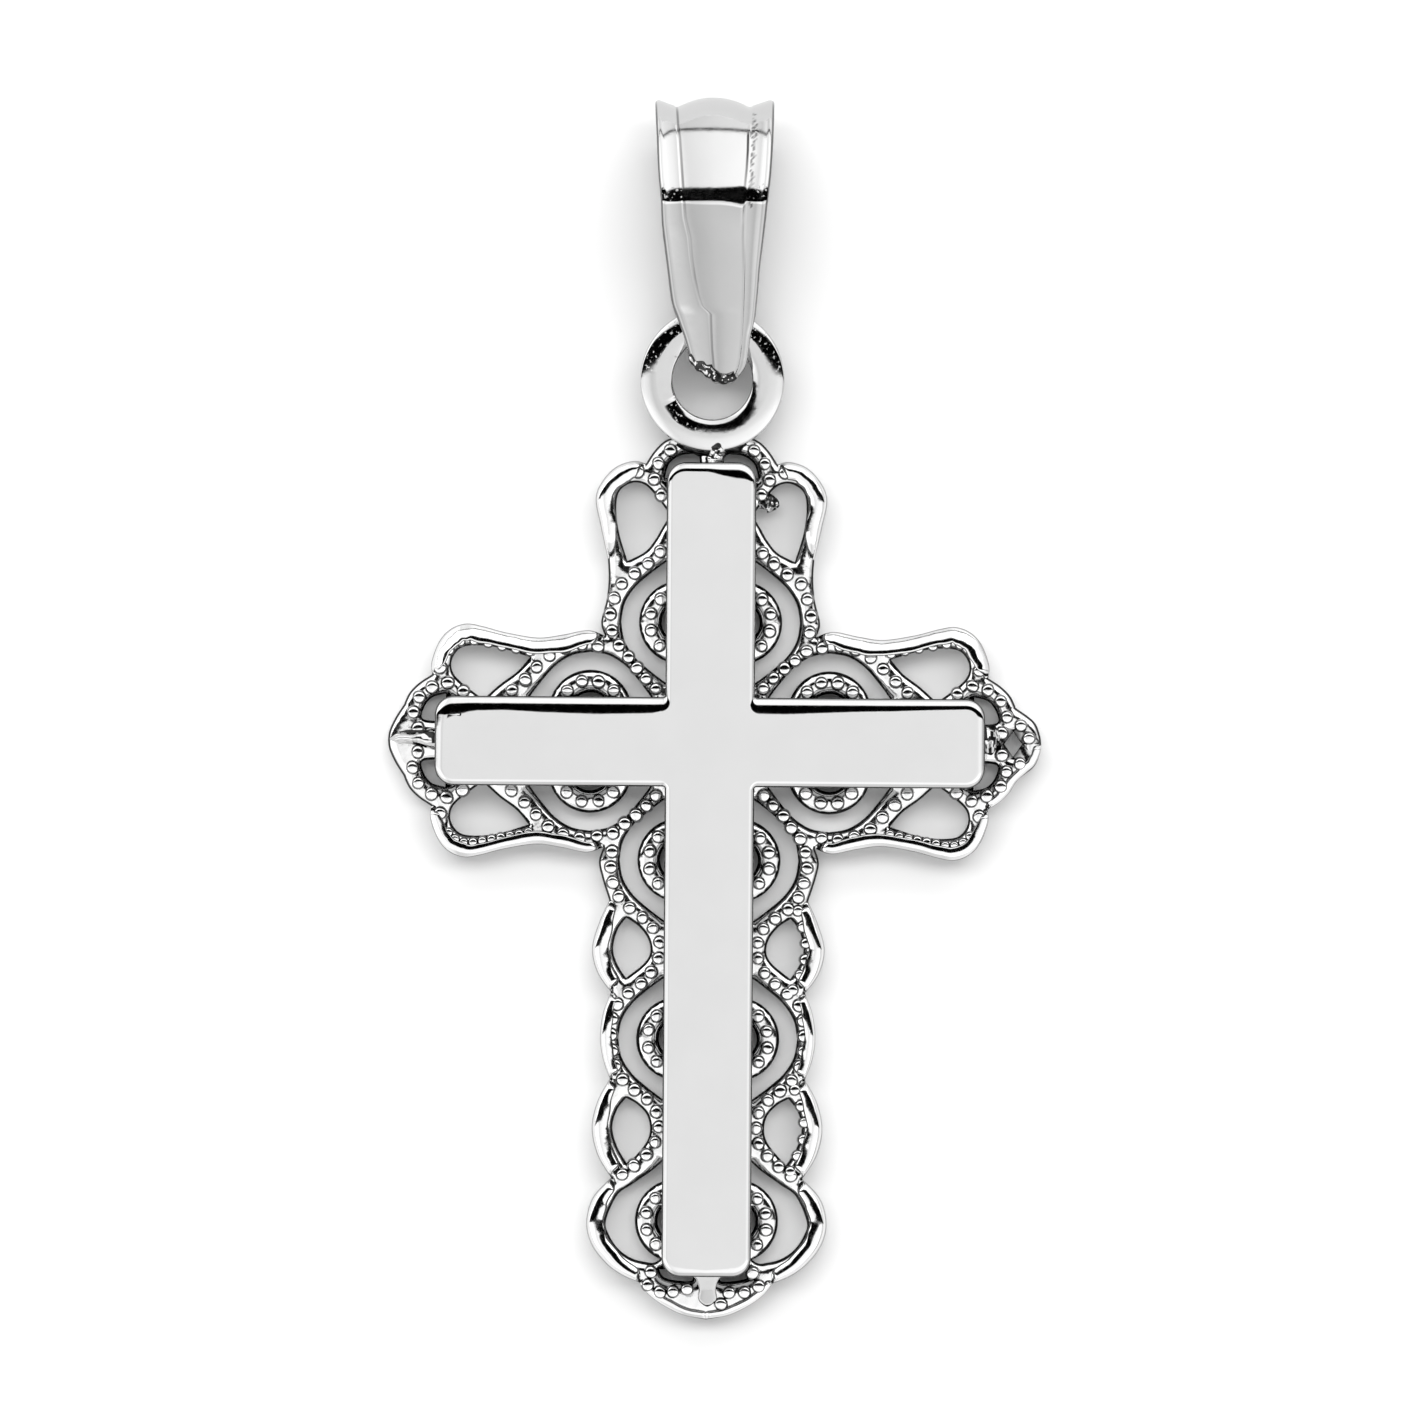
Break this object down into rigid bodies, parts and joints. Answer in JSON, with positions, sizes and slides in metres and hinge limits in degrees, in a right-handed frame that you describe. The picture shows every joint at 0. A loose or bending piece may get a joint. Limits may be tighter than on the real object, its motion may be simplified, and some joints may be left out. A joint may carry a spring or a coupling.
{
  "type": "cross charm",
  "caption": "Cross charm with a plain raised cross on a pierced lace border with grains and rims, a hanging ring and a tapered bail.",
  "frame": {"origin": "centre of the outline, on the surface that the charm lies on, under its flat back", "axes": "+X across the arms to the right of the face, +Y from the foot to the bail, +Z out of the face"},
  "size_m": [0.0136, 0.0254, 0.0029],
  "materials": {
    "silver_cross": "polished silver, grained lace",
    "silver_bail": "polished silver"
  },
  "bodies": {
    "root": {"cross": "silver_cross", "bail": "silver_bail"}
  },
  "joints": []
}
